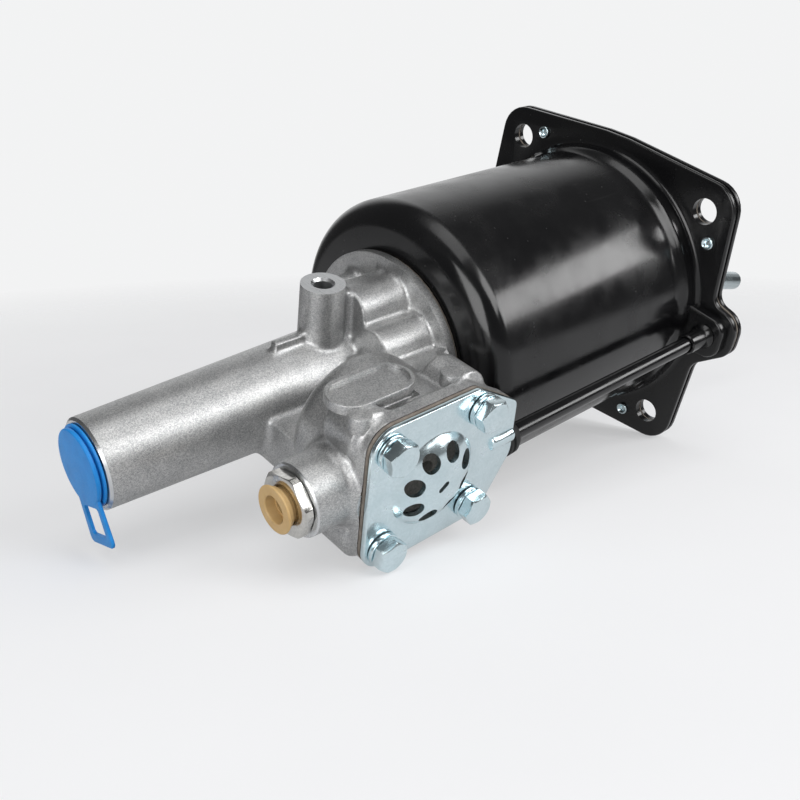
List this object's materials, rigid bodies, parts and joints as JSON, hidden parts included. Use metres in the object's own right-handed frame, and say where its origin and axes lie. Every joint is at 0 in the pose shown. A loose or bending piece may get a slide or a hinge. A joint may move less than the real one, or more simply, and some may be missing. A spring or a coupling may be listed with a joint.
{
  "type": "clutch servo",
  "caption": "Air-assisted hydraulic clutch servo: deep-drawn black pot with flange, cast nose and relay valve housing, push rod, breather pipe and air inlet.",
  "frame": {"origin": "centre of the gearbox face, which is the rear cover's outer face, on the main axis", "axes": "+X from the hydraulic nose to the gearbox face and out along the push rod, +Z towards the bleeder boss, -Y out of the exhaust cover"},
  "size_m": [0.396, 0.1402, 0.1254],
  "materials": {
    "black_enamel": "gloss",
    "raw_aluminium": "cast",
    "turned_aluminium": "satin",
    "zinc_plate": "satin",
    "nickel": "gloss",
    "spring_steel": "satin",
    "plunger_steel": "gloss",
    "black_rubber": "matte",
    "gasket_paper": "matte",
    "blue_plastic": "satin",
    "tan_plastic": "satin",
    "white_plastic": "satin",
    "felt": "matte"
  },
  "bodies": {
    "servo_body": {"cylinder_pot": "black_enamel", "rear_cover": "black_enamel", "flange_gasket": "gasket_paper", "flange_rivet_1": "zinc_plate", "flange_rivet_2": "zinc_plate", "flange_rivet_3": "zinc_plate", "flange_rivet_4": "zinc_plate", "valve_housing": "raw_aluminium", "housing_gasket": "gasket_paper", "housing_screw_1": "zinc_plate", "housing_screw_2": "zinc_plate", "housing_screw_3": "zinc_plate", "exhaust_cover": "zinc_plate", "cover_gasket": "gasket_paper", "cover_bolt_1": "zinc_plate", "cover_bolt_2": "zinc_plate", "cover_bolt_3": "zinc_plate", "cover_bolt_4": "zinc_plate", "spring_washer_1": "zinc_plate", "spring_washer_2": "zinc_plate", "spring_washer_3": "zinc_plate", "spring_washer_4": "zinc_plate", "inlet_fitting": "nickel", "inlet_tube_seal": "black_rubber", "air_pipe": "black_enamel", "pipe_sleeve": "black_enamel", "pipe_grommet": "black_rubber", "dust_cap": "blue_plastic", "guide_bush": "white_plastic", "plunger_seal": "black_rubber", "bore_retaining_ring": "spring_steel", "piston_spring": "spring_steel", "relay_spring": "spring_steel", "valve_seat": "nickel", "valve_spring": "spring_steel", "valve_guide_ring": "white_plastic", "silencer_disc": "felt"},
    "piston_body": {"air_piston": "turned_aluminium", "piston_seal": "black_rubber", "piston_guide_band": "white_plastic", "hydraulic_plunger": "plunger_steel", "rod_retaining_ring": "spring_steel"},
    "seat_body": {"rod_seat": "white_plastic"},
    "rod_body": {"push_rod": "zinc_plate"},
    "collet_body": {"inlet_collet": "tan_plastic"},
    "relay_body": {"relay_piston": "turned_aluminium", "relay_seal": "black_rubber"},
    "valve_body": {"inlet_valve": "black_rubber"}
  },
  "joints": [
    {"name": "piston_slide", "type": "slide", "parent": "servo_body", "child": "piston_body", "axis": [1, 0, 0], "range_m": [-0.06, 0], "stiffness_N_per_m": 1000, "springref_m": 0.04, "deforming": ["piston_spring"]},
    {"name": "seat_turn", "type": "hinge", "parent": "piston_body", "child": "seat_body", "pos_m": [-0.0133, 0, 0], "axis": [1, 0, 0], "continuous": true},
    {"name": "rod_tilt", "type": "hinge", "parent": "seat_body", "child": "rod_body", "pos_m": [-0.0133, 0, 0], "axis": [0, -1, 0], "range_deg": [0, 32]},
    {"name": "collet_press", "type": "slide", "parent": "servo_body", "child": "collet_body", "axis": [1, 0, 0], "range_m": [0, 0.0008], "stiffness_N_per_m": 500, "springref_m": -0.001},
    {"name": "relay_travel", "type": "slide", "parent": "servo_body", "child": "relay_body", "axis": [0, -1, 0], "range_m": [0, 0.002], "stiffness_N_per_m": 1500, "springref_m": -0.002, "deforming": ["relay_spring"]},
    {"name": "valve_lift", "type": "slide", "parent": "servo_body", "child": "valve_body", "axis": [0, -1, 0], "range_m": [0, 0.0018], "stiffness_N_per_m": 800, "springref_m": -0.002, "deforming": ["valve_spring"]}
  ],
  "couplings": [
    {"joint": "valve_lift", "follows": "relay_travel", "ratio": 0.9}
  ]
}
